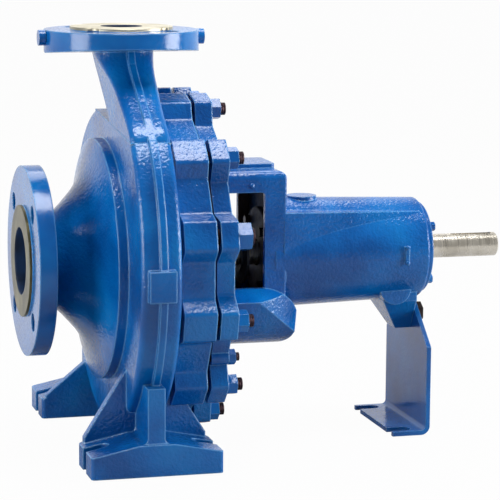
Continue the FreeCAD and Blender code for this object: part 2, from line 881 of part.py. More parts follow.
def impeller():
    """Closed impeller: two shrouds, curved vanes, eye neck, rear neck and a keyed hub."""
    front_rim = outlet_front - shroud_thickness
    blank = turned([
        (eye_front, eye_radius), (eye_front, eye_neck_radius), (neck_rear, eye_neck_radius),
        (passage_eye_front, eye_neck_radius + shroud_thickness), (front_rim, impeller_radius),
        (shroud_rear, impeller_radius), (shroud_rear, eye_neck_radius), (rear_neck_end, eye_neck_radius),
        (rear_neck_end, eye_radius), (shroud_rear, eye_radius), (shroud_rear, hub_radius + rear_fillet),
        (shroud_rear + rear_fillet, hub_radius), (hub_rear, hub_radius), (hub_rear, 0), (hub_front, 0),
        (hub_front, hub_nose_radius), (hub_nose, hub_radius), (hub_nose, passage_hub_radius),
        (passage_eye_front, passage_eye_radius), (eye_flare_front, eye_radius),
    ])
    passage = impeller_passage()
    vane = vane_outline(eye_front).extrude(Vector(rear_neck_end - eye_front, 0, 0)).common(passage)
    vanes = [around_shaft(vane, 360.0 / vane_count * i) for i in range(vane_count)]
    solid = blank.cut(passage).fuse(vanes)
    cuts = [disc(hub_front - cut_margin, hub_rear + cut_margin, impeller_seat_radius + seat_clearance)]
    cuts.append(key_space(impeller_key_front, hub_rear - impeller_key_front + cut_margin, seat_clearance))
    for i in range(vane_count):
        place = polar(balance_circle_radius, 360.0 / vane_count * (i + 0.5), hub_nose)
        cuts.append(Part.makeCylinder(balance_hole_radius, rear_neck_end - hub_nose, place, SHAFT))
    return solid.cut(cuts).removeSplitter()


def key_space(front, length, clearance):
    """Room for a parallel key on top of the shaft."""
    bottom = impeller_seat_radius - impeller_key_depth - clearance
    half = impeller_key_width / 2 + clearance
    return box(front, front + length, -half, half, bottom, bottom + impeller_key_height + 2 * clearance)


def impeller_key():
    return key_space(impeller_key_front, impeller_key_length, 0.0)


def impeller_washer():
    return disc(hub_front - washer_thickness, hub_front, hub_nose_radius, thread_radius + seat_clearance)


def impeller_nut():
    """Domed hexagon nut that holds the impeller on the shaft."""
    seat = hub_front - washer_thickness
    body = hexagon(impeller_nut_width, impeller_nut_height, Vector(seat, 0, 0), Vector(-1, 0, 0))
    dome = Part.makeSphere(impeller_nut_dome_radius, Vector(seat - impeller_nut_height, 0, 0))
    front_half = disc(seat - 2 * impeller_nut_height, seat - impeller_nut_height, impeller_nut_dome_radius)
    bore = disc(thread_front - seat_clearance, seat, thread_radius + seat_clearance)
    return body.fuse(dome.common(front_half)).cut(bore).removeSplitter()


def shaft():
    """Stepped shaft with keyways at the impeller and at the drive end."""
    groove = rear_bearing_rear + circlip_gap
    groove_end = groove + circlip_width + 2 * seat_clearance
    profile = [
        (thread_front, 0), (thread_front, thread_radius - shaft_chamfer),
        (thread_front + shaft_chamfer, thread_radius),
        (hub_front, thread_radius), (hub_front, impeller_seat_radius),
        (collar_shoulder, impeller_seat_radius), (collar_shoulder, neck_radius),
        (bearing_seat_front, neck_radius), (bearing_seat_front, bearing_seat_radius),
        (front_bearing_front + bearing_width, bearing_seat_radius),
        (front_bearing_front + bearing_width, middle_radius),
        (rear_bearing_front, middle_radius), (rear_bearing_front, bearing_seat_radius),
        (groove, bearing_seat_radius), (groove, bearing_seat_radius - circlip_groove_depth),
        (groove_end, bearing_seat_radius - circlip_groove_depth), (groove_end, bearing_seat_radius),
        (coupling_shoulder, bearing_seat_radius), (coupling_shoulder, coupling_radius),
        (shaft_reach - shaft_chamfer, coupling_radius), (shaft_reach, coupling_radius - shaft_chamfer),
        (shaft_reach, 0),
    ]
    solid = turned(profile)
    rear_end = shaft_reach - coupling_keyway_setback
    half = coupling_key_width / 2
    floor = coupling_radius - coupling_key_depth
    ends = [rear_end - coupling_keyway_length + half, rear_end - half]
    keyway = [box(ends[0], ends[1], -half, half, floor, coupling_radius + cut_margin)]
    keyway += [Part.makeCylinder(half, coupling_key_depth + cut_margin, Vector(x, 0, floor)) for x in ends]
    centre_hole = Part.makeCone(0, centre_hole_radius, centre_hole_depth,
                                Vector(shaft_reach - centre_hole_depth, 0, 0), SHAFT)
    cuts = [key_space(impeller_key_front, impeller_key_length, seat_clearance), centre_hole] + keyway
    return solid.cut(cuts).removeSplitter()


def shaft_sleeve():
    return disc(hub_rear, collar_shoulder, sleeve_radius, impeller_seat_radius + seat_clearance)


def seal_collar():
    front = seal_collar_front
    return disc(front, front + seal_collar_length, seal_collar_radius, sleeve_radius + seat_clearance)


def seal_bellows():
    """Welded metal bellows, a zigzag wall round the sleeve."""
    front = seal_collar_front + seal_collar_length
    pitch = bellows_length / bellows_folds
    bellows_bore = sleeve_radius + seal_running_gap
    outer = []
    inner = []
    for i in range(bellows_folds):
        x = front + pitch * i
        outer += [(x, bellows_radius - bellows_fold_depth), (x + pitch / 2, bellows_radius)]
        inner += [(x, bellows_bore), (x + pitch / 2, bellows_radius - bellows_wall)]
    rear = front + bellows_length
    outer.append((rear, bellows_radius - bellows_fold_depth))
    inner.append((rear, bellows_bore))
    return turned(outer + inner[::-1])


def seal_face_ring():
    rear = seal_face_place
    front = rear - face_ring_length
    bore = sleeve_radius + seal_running_gap
    nose = face_ring_radius - face_nose_step
    return turned([(front, bore), (front, face_ring_radius), (rear - face_nose_length, face_ring_radius),
                   (rear - face_nose_length, nose), (rear, nose), (rear, bore)])


def seal_seat():
    front = seal_face_place + seal_face_gap
    rear = seal_boss_rear - seal_cover_spigot + seat_length
    return disc(front, rear, seat_radius - seat_clearance, sleeve_radius + seat_bore_gap)


def deflector_ring():
    """Rubber ring that throws off drips before they reach the bearing."""
    front = deflector_front
    rear = front + deflector_width
    middle = (front + rear) / 2
    half_lip = deflector_lip / 2
    bore = neck_radius + seat_clearance
    return turned([(front, bore), (front, deflector_hub_radius), (middle - deflector_lip, deflector_hub_radius),
                   (middle - half_lip, deflector_radius), (middle + half_lip, deflector_radius),
                   (middle + deflector_lip, deflector_hub_radius), (rear, deflector_hub_radius), (rear, bore)])


def race(front):
    """Torus-shaped groove in both bearing rings."""
    centre = Vector(front + bearing_width / 2, 0, 0)
    return Part.makeTorus(pitch_radius, ball_radius + race_gap, centre, SHAFT)


def outer_ring(front):
    blank = disc(front, front + bearing_width, bearing_outer_radius - seat_clearance, outer_ring_inner_radius)
    return blank.cut(race(front))


def inner_ring(front):
    blank = disc(front, front + bearing_width, inner_ring_outer_radius, bearing_seat_radius + seat_clearance)
    return blank.cut(race(front))


def ball_places(front):
    return [polar(pitch_radius, 360.0 / ball_count * i, front + bearing_width / 2) for i in range(ball_count)]


def balls(front):
    return [Part.makeSphere(ball_radius, place) for place in ball_places(front)]


def ball_cage(front):
    middle = front + bearing_width / 2
    band = disc(middle - cage_half_width, middle + cage_half_width, cage_outer_radius, cage_inner_radius)
    pockets = [Part.makeSphere(ball_radius + seat_clearance, place) for place in ball_places(front)]
    return band.cut(pockets)


def shaft_circlip():
    front = rear_bearing_rear + circlip_gap + seat_clearance
    ring = disc(front, front + circlip_width, circlip_radius,
                bearing_seat_radius - circlip_groove_depth + seat_clearance)
    opening = box(front - cut_margin, front + circlip_width + cut_margin, -circlip_opening / 2,
                  circlip_opening / 2, -circlip_radius - cut_margin, 0)
    return ring.cut(opening)


def bearing_bore():
    """Through bore of the bearing housing with a wider cast space between the bearings."""
    margin = housing_bore_step
    return turned([
        (lantern_cavity_rear - cut_margin, 0),
        (lantern_cavity_rear - cut_margin, bearing_outer_radius),
        (front_bearing_front + bearing_width + margin, bearing_outer_radius),
        (front_bearing_front + bearing_width + 2 * margin, housing_relief_radius),
        (rear_bearing_front - 2 * margin, housing_relief_radius),
        (rear_bearing_front - margin, bearing_outer_radius),
        (housing_rear + cut_margin, bearing_outer_radius),
        (housing_rear + cut_margin, 0),
    ])


def smooth(points):
    curve = Part.BSplineCurve()
    curve.interpolate(points)
    return curve.toShape()


# One bank of the trough seen from above, as (share of its length, share of the way in to the lantern side)
trough_bank_curve = [(0.0, 0.0), (0.42, 0.06), (0.63, 0.28), (0.83, 0.64), (1.0, 1.08)]


def trough():
    """Drip trough under the shaft seal: wide at the flange, drawn in towards the housing."""
    front = bracket_rear - bracket_root
    low = -trough_radius - cut_margin
    reach = trough_radius + cut_margin
    sill = window_bottom
    flat_end = Vector(trough_rear - trough_flat_lean, -reach, sill - trough_flat_drop)
    shoulder = Vector(trough_rear, -reach, sill - trough_shoulder_drop)
    crest = Vector(window_rear - trough_crest_setback, -reach, sill)
    crown = Vector(trough_rear - trough_crown_setback, -reach, sill - trough_crown_drop)
    toe = Vector(trough_rear - trough_toe_setback, -reach, low)
    toe_middle = Vector(trough_rear - trough_toe_middle, -reach, low + trough_toe_middle)
    side = [
        Part.makeLine(Vector(front, -reach, sill), crest),
        Part.Arc(crest, crown, shoulder).toShape(),
        Part.makeLine(shoulder, flat_end),
        Part.Arc(flat_end, toe_middle, toe).toShape(),
        Part.makeLine(toe, Vector(front, -reach, low)),
        Part.makeLine(Vector(front, -reach, low), Vector(front, -reach, sill)),
    ]
    along = Part.Face(Part.Wire(side)).extrude(Vector(0, 2 * reach, 0))
    bank = [(front + (trough_rear + cut_margin - front) * along,
             trough_bank_half_width + (lantern_half_width - trough_bank_half_width) * inward)
            for along, inward in trough_bank_curve]
    near = [Vector(x, -y, low) for x, y in bank]
    far = [Vector(x, y, low) for x, y in bank[::-1]]
    plan = [smooth(near), Part.makeLine(near[-1], far[0]), smooth(far), Part.makeLine(far[-1], near[0])]
    tapered = Part.Face(Part.Wire(plan)).extrude(Vector(0, 0, sill - low))
    ledge = sill - trough_ledge_drop * (reach - lantern_half_width) / (trough_radius - lantern_half_width)
    roof = plate_yz([(-reach, low), (-reach, ledge), (-lantern_half_width, sill), (lantern_half_width, sill),
                     (reach, ledge), (reach, low)], front, trough_rear)
    round_wall = disc(front, trough_rear, trough_radius)
    return along.common(tapered).common(roof).common(round_wall)


def trough_hollow():
    front = bracket_rear
    rear = lantern_cavity_rear
    half = lantern_half_width + trough_wall
    space = box(front, rear, -half, half, -trough_radius, window_bottom - trough_wall)
    return space.common(disc(front, rear, trough_radius - trough_wall))


def lantern():
    """Upper part of the lantern: flat sides and a flat top with rounded corners."""
    front = bracket_rear - bracket_root
    half = lantern_half_width
    corner = lantern_corner_radius
    bottom = window_bottom - trough_shoulder_drop
    block = box(front, lantern_rear, -half, half, bottom, lantern_top)
    ridges = [edge for edge in block.Edges
              if edge.BoundBox.XLength > 1.0 and edge.BoundBox.ZMin > lantern_top - 0.01]
    block = block.makeFillet(corner, ridges)
    rim = [edge for edge in block.Edges
           if edge.BoundBox.XMin > lantern_rear - 0.01 and edge.BoundBox.ZMax > bottom + 1.0]
    block = block.makeFillet(lantern_edge_radius, rim)
    top = lantern_top + cut_margin
    k = corner * (1.0 - math.sqrt(0.5))
    profile = [
        Part.makeLine(Vector(front, -half, bottom), Vector(lantern_rear, -half, bottom)),
        Part.makeLine(Vector(lantern_rear, -half, bottom), Vector(lantern_rear, -half, lantern_top - corner)),
        Part.Arc(Vector(lantern_rear, -half, lantern_top - corner),
                 Vector(lantern_rear - k, -half, lantern_top - k),
                 Vector(lantern_rear - corner, -half, lantern_top)).toShape(),
        Part.makeLine(Vector(lantern_rear - corner, -half, lantern_top),
                      Vector(lantern_rear - corner, -half, top)),
        Part.makeLine(Vector(lantern_rear - corner, -half, top), Vector(front, -half, top)),
        Part.makeLine(Vector(front, -half, top), Vector(front, -half, bottom)),
    ]
    block = block.common(Part.Face(Part.Wire(profile)).extrude(Vector(0, 2 * half, 0)))
    pad = box(front, lantern_pad_rear, -lantern_pad_half_width, lantern_pad_half_width,
              lantern_top - lantern_wall / 2, lantern_top + lantern_pad_height)
    edges = [edge for edge in pad.Edges if edge.BoundBox.XMin > lantern_pad_rear - 0.01
             and edge.BoundBox.ZLength > 1.0]
    return block.fuse(pad.makeFillet(lantern_pad_height, edges))


def lantern_hollow():
    inner = lantern_half_width - lantern_wall
    return box(bracket_rear, lantern_cavity_rear, -inner, inner, window_bottom - trough_wall - cut_margin,
               lantern_top - lantern_wall)


def windows():
    """One opening through both side walls, with rounded corners."""
    reach = trough_radius
    opening = box(window_front, window_rear, -reach, reach, window_bottom, window_top)
    corners = [edge for edge in opening.Edges if edge.BoundBox.YLength > 1.0 and edge.BoundBox.ZMin > 0]
    return opening.makeFillet(window_corner_radius, corners)


def housing_radius(x):
    """Outside radius of the round housing at a place along the shaft."""
    share = (x - lantern_cavity_rear) / (housing_rear - lantern_cavity_rear)
    return housing_front_radius + (housing_rear_radius - housing_front_radius) * share


def housing_shoulders():
    """Flat shoulders from the lantern sides to the rear rim; their sides touch the round housing."""
    front, rear = lantern_rear - lantern_edge_radius, housing_rear - 2 * housing_rim_radius
    sections = []
    for x, half, top in ((front, lantern_half_width, shoulder_front_height),
                         (rear, shoulder_rear_half_width, shoulder_rear_height)):
        radius = housing_radius(x)
        touch = math.atan2(top, half) - math.acos(radius / math.hypot(top, half))
        side, low = radius * math.cos(touch), radius * math.sin(touch)
        corners = [Vector(x, -side, low), Vector(x, side, low), Vector(x, half, top), Vector(x, -half, top)]
        sections.append(Part.makePolygon(corners + corners[:1]))
    return Part.makeLoft(sections, True, True)


def bracket_lug():
    """Lug under the housing that carries the sheet foot, with a round cross boss at its root."""
    root = -housing_relief_radius
    plate = plate_yz([(-lug_half_width, root), (lug_half_width, root), (lug_half_width, -lug_shoulder_drop),
                      (lug_toe_half_width, -lug_drop), (-lug_toe_half_width, -lug_drop),
                      (-lug_half_width, -lug_shoulder_drop)], lug_front, lug_rear)
    slope = plate_xz([(lug_front, root), (lug_front, -lug_shoulder_drop), (lug_front + lug_lean, -lug_drop),
                      (lug_rear, -lug_drop), (lug_rear, root)], -lug_half_width, lug_half_width)
    boss = Part.makeCylinder(lug_boss_radius, 2 * lug_boss_half_width,
                             Vector(lug_boss_place, -lug_boss_half_width, -lug_boss_drop), Vector(0, 1, 0))
    return plate.common(slope).fuse(boss)


def housing():
    """Round bearing housing that narrows slightly to a rounded rear rim."""
    body = turned([(lantern_cavity_rear, 0), (lantern_cavity_rear, housing_front_radius),
                   (housing_rear, housing_rear_radius), (housing_rear, 0)])
    rim = [edge for edge in body.Edges
           if edge.BoundBox.XMin > housing_rear - 0.01 and edge.BoundBox.YLength > housing_rear_radius]
    return body.makeFillet(housing_rim_radius, rim)


def bearing_bracket():
    flange = lobed_ring(bracket_recess_radius, bracket_front, bracket_rear)
    forcing_bosses = [Part.makeCylinder(forcing_boss_radius, bracket_flange_thickness,
                                        polar(forcing_circle_radius, angle, bracket_front), SHAFT)
                      for angle in forcing_angles()]
    spigot = disc(bracket_front - register_depth + seat_clearance, bracket_front + cut_margin, register_radius)
    recess = disc(bracket_front - register_depth, bracket_rear - bracket_web, cup_radius + spigot_gap)
    pad_root = housing_front_radius - housing_pad_radius
    pad = Part.makeCylinder(housing_pad_radius, housing_pad_top - pad_root, Vector(housing_pad_place, 0, pad_root))
    bar = box(side_bar_place - side_bar_width / 2, side_bar_place + side_bar_width / 2,
              -housing_rear_radius - side_bar_proud, -housing_relief_radius - side_bar_width,
              -side_bar_height / 2, side_bar_height / 2)
    solid = flange.fuse([spigot, lantern(), trough(), housing(), housing_shoulders(), bracket_lug(), pad, bar]
                        + forcing_bosses)
    cuts = [recess, disc(bracket_front - cut_margin, bracket_rear + cut_margin, bracket_bore_radius),
            lantern_hollow(), trough_hollow(), bearing_bore(), windows()]
    for i in range(lobe_count):
        radius = heavy_stud_radius if i in heavy_places() else stud_radius
        foot = polar(stud_circle_radius, lobe_angle(i), bracket_front - cut_margin)
        cuts.append(Part.makeCylinder(radius + stud_hole_clearance,
                                      bracket_flange_thickness + 2 * cut_margin, foot, SHAFT))
    for angle in forcing_angles():
        foot = polar(forcing_circle_radius, angle, bracket_front - cut_margin)
        cuts.append(Part.makeCylinder(forcing_screw_radius + seat_clearance,
                                      bracket_flange_thickness + 2 * cut_margin, foot, SHAFT))
    for face, direction in ((lantern_cavity_rear, -1), (housing_rear, 1)):
        for place in cover_screw_places(face - direction * cover_screw_depth):
            cuts.append(Part.makeCylinder(cover_screw_radius + seat_clearance,
                                          cover_screw_depth + cut_margin, place, SHAFT * direction))
    cuts.append(Part.makeCylinder(support_bolt_radius + seat_clearance, support_bolt_depth + cut_margin,
                                  Vector(lug_rear - support_bolt_depth, 0, -support_bolt_drop), SHAFT))
    return solid.cut(cuts).removeSplitter()


def cover_screw_places(x):
    return [polar(cover_screw_circle_radius, cover_screw_start_angle + 360.0 / cover_screw_count * i, x)
            for i in range(cover_screw_count)]


def casing_nuts(width, height, bore, places):
    nuts = []
    for i in places:
        seat = polar(stud_circle_radius, lobe_angle(i), bracket_rear)
        nut = hex_nut(width, height, bore + seat_clearance, Vector(bracket_rear, 0, 0), SHAFT)
        nut = around_shaft(nut, lobe_angle(i))
        nut.translate(Vector(0, seat.y, seat.z))
        nuts.append(nut)
    return nuts


def forcing_screws():
    """Two screws in the bracket flange that push the bracket off the casing."""
    screws = []
    for angle in forcing_angles():
        foot = polar(forcing_circle_radius, angle, bracket_front)
        length = bracket_flange_thickness + forcing_screw_reach
        screws.append(Part.makeCylinder(forcing_screw_radius, length, foot, SHAFT))
    return screws


def forcing_nuts():
    nuts = []
    for angle in forcing_angles():
        seat = polar(forcing_circle_radius, angle, bracket_rear)
        nuts.append(hex_nut(forcing_nut_width, forcing_nut_height, forcing_screw_radius + seat_clearance,
                            seat, SHAFT))
    return nuts


def bearing_cover(face, direction, bearing_face):
    """Turned cover with a spigot in the bearing bore and a seat for the lip seal.

    The front one gets two flats where the lantern walls stand closer together than its rim.
    """
    shaft_hole = bearing_seat_radius + cover_shaft_gap
    outer = face + direction * bearing_cover_thickness
    sink = face - direction * lip_seal_sink
    spigot_end = bearing_face + direction * cover_spigot_gap
    spigot_radius = bearing_outer_radius - seat_clearance
    inner_radius = bearing_outer_radius - cover_spigot_wall
    cover = turned([
        (outer, shaft_hole), (outer, bearing_cover_radius - bearing_cover_edge),
        (outer - direction * bearing_cover_edge, bearing_cover_radius), (face, bearing_cover_radius),
        (face, spigot_radius), (spigot_end, spigot_radius), (spigot_end, inner_radius),
        (sink, inner_radius), (sink, shaft_hole),
    ])
    seat_front, seat_rear = lip_seal_ends(face, direction)
    cuts = [disc(seat_front, seat_rear, lip_seal_radius)]
    for place in cover_screw_places(face - direction * cut_margin):
        cuts.append(Part.makeCylinder(cover_screw_radius + seat_clearance,
                                      bearing_cover_thickness + 2 * cut_margin, place, SHAFT * direction))
    cover = cover.cut(cuts)
    if direction < 0:
        half = lantern_half_width - lantern_wall - cover_flat_gap
        flats = box(outer, bearing_face, -half, half, -bearing_cover_radius, bearing_cover_radius)
        cover = cover.common(flats)
    return cover.removeSplitter()


def lip_seal_ends(face, direction):
    inner_end = face - direction * lip_seal_sink
    return sorted((inner_end, inner_end + direction * lip_seal_width))


def lip_seal(face, direction):
    front, rear = lip_seal_ends(face, direction)
    bore = bearing_seat_radius + lip_gap if direction > 0 else neck_radius + lip_gap
    return disc(front, rear, lip_seal_radius - seat_clearance, bore)


def cover_screws(face, direction):
    length = bearing_cover_thickness + cover_screw_depth - screw_end_gap
    return [hex_screw(cover_screw_radius, length, cover_screw_head_width, cover_screw_head_height, seat,
                      SHAFT * direction)
            for seat in cover_screw_places(face + direction * bearing_cover_thickness)]


def support_foot():
    """Bent sheet foot: an upright plate that tapers to the lug and a slotted base."""
    x0 = lug_rear
    x1 = lug_rear + foot_sheet
    shoulder = BASE + support_shoulder_height
    top = BASE + support_top_height
    upright = plate_yz([(-support_half_width, BASE + support_bend_radius),
                        (support_half_width, BASE + support_bend_radius), (support_half_width, shoulder),
                        (support_top_half_width, top), (-support_top_half_width, top),
                        (-support_half_width, shoulder)], x0, x1)
    half = support_half_width
    base = box(x1 - support_base_length, x1 - support_bend_radius, -half, half, BASE, BASE + foot_sheet)
    centre = Vector(x1 - support_bend_radius, -half, BASE + support_bend_radius)
    along = Vector(0, 1, 0)
    bend = Part.makeCylinder(support_bend_radius, 2 * half, centre, along)
    bend = bend.cut(Part.makeCylinder(support_bend_radius - foot_sheet, 2 * half, centre, along))
    bend = bend.common(box(centre.x, x1, -half, half, BASE, centre.z))
    foot = upright.fuse([base, bend])
    cuts = [Part.makeCylinder(support_bolt_radius + stud_hole_clearance, foot_sheet + 2 * cut_margin,
                              Vector(x0 - cut_margin, 0, -support_bolt_drop), SHAFT)]
    edge = x1 - support_base_length
    for side in (-1, 1):
        y = side * support_slot_spread
        cuts.append(Part.makeCylinder(foot_slot_radius, foot_sheet + 2 * cut_margin,
                                      Vector(edge + support_slot_depth, y, BASE - cut_margin)))
        cuts.append(box(edge - cut_margin, edge + support_slot_depth, y - foot_slot_radius,
                        y + foot_slot_radius, BASE - cut_margin, BASE + foot_sheet + cut_margin))
    return foot.cut(cuts).removeSplitter()


def support_washer():
    base = Vector(lug_rear + foot_sheet, 0, -support_bolt_drop)
    ring = Part.makeCylinder(washer_radius, washer_thickness, base, SHAFT)
    return ring.cut(Part.makeCylinder(support_bolt_radius + seat_clearance, washer_thickness, base, SHAFT))


def support_bolt():
    seat = Vector(lug_rear + foot_sheet + washer_thickness, 0, -support_bolt_drop)
    depth = foot_sheet + washer_thickness + support_bolt_depth - screw_end_gap
    return hex_screw(support_bolt_radius, depth, support_bolt_head_width, support_bolt_head_height, seat, SHAFT)


def save(node, shape):
    """Lift a piece, or a group of equal pieces, to the shaft height and write it."""
    solid = Part.makeCompound(shape) if isinstance(shape, list) else shape
    lifted = solid.copy()
    lifted.translate(Vector(0, 0, shaft_height))
    lifted.exportStep("parts/" + node + ".step")


os.makedirs("parts", exist_ok=True)

save("volute_casing", volute_casing())
save("casing_wear_ring", wear_ring(eye_front - wear_ring_lead))
save("casing_cover", casing_cover())
save("cover_wear_ring", wear_ring(cover_front))
save("casing_gasket", casing_gasket())
save("casing_studs", stud_bolts(stud_radius, light_places()))
save("casing_nuts", casing_nuts(nut_width, nut_height, stud_radius, light_places()))
save("heavy_studs", stud_bolts(heavy_stud_radius, heavy_places()))
save("heavy_nuts", casing_nuts(heavy_nut_width, heavy_nut_height, heavy_stud_radius, heavy_places()))
save("forcing_screws", forcing_screws())
save("forcing_nuts", forcing_nuts())
save("gauge_plugs", gauge_plugs())
save("drain_plug", drain_plug())

save("impeller", impeller())
save("impeller_key", impeller_key())
save("impeller_washer", impeller_washer())
save("impeller_nut", impeller_nut())
save("shaft", shaft())
save("shaft_sleeve", shaft_sleeve())
save("seal_collar", seal_collar())
save("seal_bellows", seal_bellows())
save("seal_face_ring", seal_face_ring())
save("seal_seat", seal_seat())
save("seal_cover", seal_cover())
save("seal_cover_bolts", seal_cover_bolts())
save("deflector_ring", deflector_ring())

for place, front in (("front", front_bearing_front), ("rear", rear_bearing_front)):
    save(place + "_bearing_outer_ring", outer_ring(front))
    save(place + "_bearing_inner_ring", inner_ring(front))
    save(place + "_bearing_balls", balls(front))
    save(place + "_bearing_cage", ball_cage(front))
save("shaft_circlip", shaft_circlip())

save("bearing_bracket", bearing_bracket())
save("front_bearing_cover", bearing_cover(lantern_cavity_rear, -1, front_bearing_front))
save("rear_bearing_cover", bearing_cover(housing_rear, 1, rear_bearing_rear))
save("front_lip_seal", lip_seal(lantern_cavity_rear, -1))
save("rear_lip_seal", lip_seal(housing_rear, 1))
save("front_cover_screws", cover_screws(lantern_cavity_rear, -1))
save("rear_cover_screws", cover_screws(housing_rear, 1))
save("support_foot", support_foot())
save("support_washer", support_washer())
save("support_bolt", support_bolt())
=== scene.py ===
# %% [markdown]
# # An end-suction pump, dressed step by step
# The solids of the pump come in as a fixed frame: every casting, nut and bearing is already in its
# place, in metres. This lesson gives them their real surfaces, adds the small forms that a casting
# drawing leaves out, and then sets up a plain studio. Each step says what the real thing is first.

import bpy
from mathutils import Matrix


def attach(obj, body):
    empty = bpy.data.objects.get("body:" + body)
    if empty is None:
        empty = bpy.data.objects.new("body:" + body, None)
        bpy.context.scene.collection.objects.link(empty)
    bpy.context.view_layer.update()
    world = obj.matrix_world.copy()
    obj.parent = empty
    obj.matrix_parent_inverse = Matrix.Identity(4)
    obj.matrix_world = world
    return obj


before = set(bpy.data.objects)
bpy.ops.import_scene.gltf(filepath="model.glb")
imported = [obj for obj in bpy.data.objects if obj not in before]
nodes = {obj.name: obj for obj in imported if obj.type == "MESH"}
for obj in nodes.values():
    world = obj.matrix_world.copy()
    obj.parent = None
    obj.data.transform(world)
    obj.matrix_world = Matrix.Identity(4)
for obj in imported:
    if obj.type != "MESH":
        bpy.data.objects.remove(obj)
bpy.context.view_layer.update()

# %% [markdown]
# ## Sizes and selection
# Sizes are written in millimetres, as on a drawing, and one factor turns them into metres. The base
# plane of the pump is at zero, and its shaft runs 180 mm above that.

# %% Tools that every step needs
import math

import bpy
from mathutils import Matrix, Vector

MM = 0.001
SHAFT_HEIGHT = 180 * MM


def deselect_all():
    """Nothing stays selected, so the next operator acts on its own piece only."""
    if bpy.context.object and bpy.context.object.mode != "OBJECT":
        bpy.ops.object.mode_set(mode="OBJECT")
    bpy.ops.object.select_all(action="DESELECT")


deselect_all()
print("tools ready")

# %% [markdown]
# ## Colours
# Colours are written as the hex values that a paint chart or a picture shows. The shader works with
# linear light, so one function turns each value over.

# %% From sRGB hex to linear light
def linear(hex_value):
    """Linear RGBA of a hex colour such as 'D8B27A'."""
    channels = []
    for start in (0, 2, 4):
        c = int(hex_value[start:start + 2], 16) / 255
        channels.append(c / 12.92 if c <= 0.04045 else ((c + 0.055) / 1.055) ** 2.4)
    return (*channels, 1.0)


print("mid grey is", round(linear("808080")[0], 3), "in linear light")

# %% [markdown]
# ## One small helper for material nodes
# A material is a little graph. One helper adds a node, gives it its settings and joins its inputs, so
# that a whole finish reads as a short list of steps. Inputs go by name, or by number as i0, i1 and so
# on where several have the same name. A node that is given as an input stands for its first output.

# %% Add a node with its settings and links
def join(tree, node, **inputs):
    """Set a node's inputs to plain values, or join them to other nodes."""
    for name, value in inputs.items():
        key = int(name[1:]) if name[1:].isdigit() else name.replace("_", " ")
        if isinstance(value, bpy.types.Node):
            value = value.outputs[0]
        if isinstance(value, bpy.types.NodeSocket):
            tree.links.new(value, node.inputs[key])
        else:
            node.inputs[key].default_value = value


def set_stops(band, stops):
    """Put (position, value) stops on a colour ramp, with greys as numbers and colours as hex."""
    band.elements[0].position = stops[0][0]
    band.elements[1].position = stops[-1][0]
    for position, _ in stops[1:-1]:
        band.elements.new(position)
    for element, (_, value) in zip(band.elements, stops):
        element.color = linear(value) if isinstance(value, str) else (value, value, value, 1)


def add(tree, kind, settings=None, **inputs):
    """Add a node; settings are its properties, and stops are those of its colour ramp."""
    node = tree.nodes.new(kind)
    for name, value in (settings or {}).items():
        if name == "stops":
            set_stops(node.color_ramp, value)
        else:
            setattr(node, name, value)
    join(tree, node, **inputs)
    return node


def new_material(name):
    """An empty material with its shader, ready for a finish, and the place on the piece."""
    material = bpy.data.materials.new(name)
    material.use_nodes = True
    tree = material.node_tree
    tree.nodes.clear()
    shader = add(tree, "ShaderNodeBsdfPrincipled")
    add(tree, "ShaderNodeOutputMaterial", Surface=shader)
    place = add(tree, "ShaderNodeTexCoord").outputs["Object"]
    return material, tree, shader, place


NOISE_CELL = 3.2


def lumps(size):
    """The scale that gives a noise node lumps about size millimetres wide, a third of its cell."""
    return 1000 / (size * NOISE_CELL)


print("node helpers ready")

# %% [markdown]
# ## Blue enamel over sand-cast iron
# The castings were poured in sand moulds, so their skin is softly uneven: shallow dips a few
# millimetres wide with fine grit in them. One thick coat of glossy enamel went over all of it, and
# the light breaks into many small glints there. The paint is pulled thin on sharp edges, and the edges
# are painted lighter: partly for the thinner paint, and partly as a painted highlight of the light
# that their rounding catches. A bevel node finds the edges, because the solids meet in sharp ones.

# %% The enamel finish
CAST_DIP, CAST_GRIT, PAINT_PATCH = 4.0, 0.95, 22.0
DIP_HEIGHT, GRIT_HEIGHT = 0.7 * MM, 0.75 * MM
# The last colour is for the edges: thinner paint, and a painted highlight that their rounding would
# catch.
DEEP_BLUE, BLUE, LIGHT_BLUE, THIN_PAINT_AND_EDGE_HIGHLIGHT = "02488C", "025CA6", "0870B8", "74B8EE"
SMOOTHEST, ROUGHEST = 0.10, 0.24
ENAMEL_IOR = 1.52


